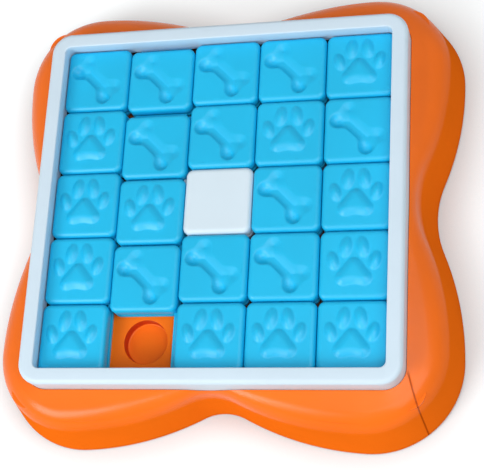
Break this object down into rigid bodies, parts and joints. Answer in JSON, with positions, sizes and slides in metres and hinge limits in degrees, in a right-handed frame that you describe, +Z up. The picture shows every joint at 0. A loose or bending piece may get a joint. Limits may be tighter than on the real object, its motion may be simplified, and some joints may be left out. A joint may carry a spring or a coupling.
{
  "type": "sliding tile treat puzzle",
  "caption": "Sliding tile treat puzzle for dogs: four-lobed base, square frame and tiles with bone and paw marks that slide over treat cups.",
  "frame": {"origin": "on the table under the middle of the toy", "axes": "+Z up, -Y towards the front, where the empty cell is, +X to the right"},
  "size_m": [0.2854, 0.2854, 0.0585],
  "materials": {
    "orange_plastic": "satin",
    "white_plastic": "satin",
    "blue_plastic": "satin",
    "screw_steel": "zinc plated",
    "foot_rubber": "matt"
  },
  "bodies": {
    "board": {"base_tray": "orange_plastic", "frame": "white_plastic", "centre_block": "white_plastic", "block_screw": "screw_steel", "foot_front_left": "foot_rubber", "foot_front_right": "foot_rubber", "foot_back_left": "foot_rubber", "foot_back_right": "foot_rubber"},
    "tile_row1_column1": {"bone_tile_row1_column1": "blue_plastic"},
    "tile_row1_column2": {"bone_tile_row1_column2": "blue_plastic"},
    "tile_row1_column3": {"bone_tile_row1_column3": "blue_plastic"},
    "tile_row1_column4": {"bone_tile_row1_column4": "blue_plastic"},
    "tile_row1_column5": {"paw_tile_row1_column5": "blue_plastic"},
    "tile_row2_column1": {"paw_tile_row2_column1": "blue_plastic"},
    "tile_row2_column2": {"bone_tile_row2_column2": "blue_plastic"},
    "tile_row2_column3": {"bone_tile_row2_column3": "blue_plastic"},
    "tile_row2_column4": {"paw_tile_row2_column4": "blue_plastic"},
    "tile_row2_column5": {"bone_tile_row2_column5": "blue_plastic"},
    "tile_row3_column1": {"paw_tile_row3_column1": "blue_plastic"},
    "tile_row3_column2": {"paw_tile_row3_column2": "blue_plastic"},
    "tile_row3_column4": {"bone_tile_row3_column4": "blue_plastic"},
    "tile_row3_column5": {"paw_tile_row3_column5": "blue_plastic"},
    "tile_row4_column1": {"paw_tile_row4_column1": "blue_plastic"},
    "tile_row4_column2": {"bone_tile_row4_column2": "blue_plastic"},
    "tile_row4_column3": {"bone_tile_row4_column3": "blue_plastic"},
    "tile_row4_column4": {"bone_tile_row4_column4": "blue_plastic"},
    "tile_row4_column5": {"paw_tile_row4_column5": "blue_plastic"},
    "tile_row5_column1": {"paw_tile_row5_column1": "blue_plastic"},
    "tile_row5_column3": {"paw_tile_row5_column3": "blue_plastic"},
    "tile_row5_column4": {"paw_tile_row5_column4": "blue_plastic"},
    "tile_row5_column5": {"paw_tile_row5_column5": "blue_plastic"}
  },
  "joints": [
    {"name": "slide_row1_column1", "type": "slide", "parent": "board", "child": "tile_row1_column1", "axis": [1, 0, 0], "range_m": [-0.0003, 0.0003]},
    {"name": "slide_row1_column2", "type": "slide", "parent": "board", "child": "tile_row1_column2", "axis": [0, -1, 0], "range_m": [-0.0022, 0.0363]},
    {"name": "slide_row1_column3", "type": "slide", "parent": "board", "child": "tile_row1_column3", "axis": [1, 0, 0], "range_m": [-0.0003, 0.0003]},
    {"name": "slide_row1_column4", "type": "slide", "parent": "board", "child": "tile_row1_column4", "axis": [1, 0, 0], "range_m": [-0.0003, 0.0003]},
    {"name": "slide_row1_column5", "type": "slide", "parent": "board", "child": "tile_row1_column5", "axis": [1, 0, 0], "range_m": [-0.0003, 0.0003]},
    {"name": "slide_row2_column1", "type": "slide", "parent": "board", "child": "tile_row2_column1", "axis": [1, 0, 0], "range_m": [-0.0003, 0.0003]},
    {"name": "slide_row2_column2", "type": "slide", "parent": "board", "child": "tile_row2_column2", "axis": [0, -1, 0], "range_m": [-0.0022, 0.0363]},
    {"name": "slide_row2_column3", "type": "slide", "parent": "board", "child": "tile_row2_column3", "axis": [1, 0, 0], "range_m": [-0.0003, 0.0003]},
    {"name": "slide_row2_column4", "type": "slide", "parent": "board", "child": "tile_row2_column4", "axis": [1, 0, 0], "range_m": [-0.0003, 0.0003]},
    {"name": "slide_row2_column5", "type": "slide", "parent": "board", "child": "tile_row2_column5", "axis": [1, 0, 0], "range_m": [-0.0003, 0.0003]},
    {"name": "slide_row3_column1", "type": "slide", "parent": "board", "child": "tile_row3_column1", "axis": [1, 0, 0], "range_m": [-0.0003, 0.0003]},
    {"name": "slide_row3_column2", "type": "slide", "parent": "board", "child": "tile_row3_column2", "axis": [0, -1, 0], "range_m": [-0.0022, 0.0363]},
    {"name": "slide_row3_column4", "type": "slide", "parent": "board", "child": "tile_row3_column4", "axis": [1, 0, 0], "range_m": [-0.0003, 0.0003]},
    {"name": "slide_row3_column5", "type": "slide", "parent": "board", "child": "tile_row3_column5", "axis": [1, 0, 0], "range_m": [-0.0003, 0.0003]},
    {"name": "slide_row4_column1", "type": "slide", "parent": "board", "child": "tile_row4_column1", "axis": [1, 0, 0], "range_m": [-0.0003, 0.0003]},
    {"name": "slide_row4_column2", "type": "slide", "parent": "board", "child": "tile_row4_column2", "axis": [0, -1, 0], "range_m": [-0.0022, 0.0363]},
    {"name": "slide_row4_column3", "type": "slide", "parent": "board", "child": "tile_row4_column3", "axis": [1, 0, 0], "range_m": [-0.0003, 0.0003]},
    {"name": "slide_row4_column4", "type": "slide", "parent": "board", "child": "tile_row4_column4", "axis": [1, 0, 0], "range_m": [-0.0003, 0.0003]},
    {"name": "slide_row4_column5", "type": "slide", "parent": "board", "child": "tile_row4_column5", "axis": [1, 0, 0], "range_m": [-0.0003, 0.0003]},
    {"name": "slide_row5_column1", "type": "slide", "parent": "board", "child": "tile_row5_column1", "axis": [1, 0, 0], "range_m": [-0.0003, 0.0003]},
    {"name": "slide_row5_column3", "type": "slide", "parent": "board", "child": "tile_row5_column3", "axis": [1, 0, 0], "range_m": [-0.0003, 0.0003]},
    {"name": "slide_row5_column4", "type": "slide", "parent": "board", "child": "tile_row5_column4", "axis": [1, 0, 0], "range_m": [-0.0003, 0.0003]},
    {"name": "slide_row5_column5", "type": "slide", "parent": "board", "child": "tile_row5_column5", "axis": [1, 0, 0], "range_m": [-0.0003, 0.0003]}
  ],
  "couplings": [
    {"joint": "slide_row1_column2", "follows": "slide_row4_column2", "ratio": 1},
    {"joint": "slide_row2_column2", "follows": "slide_row4_column2", "ratio": 1},
    {"joint": "slide_row3_column2", "follows": "slide_row4_column2", "ratio": 1}
  ]
}
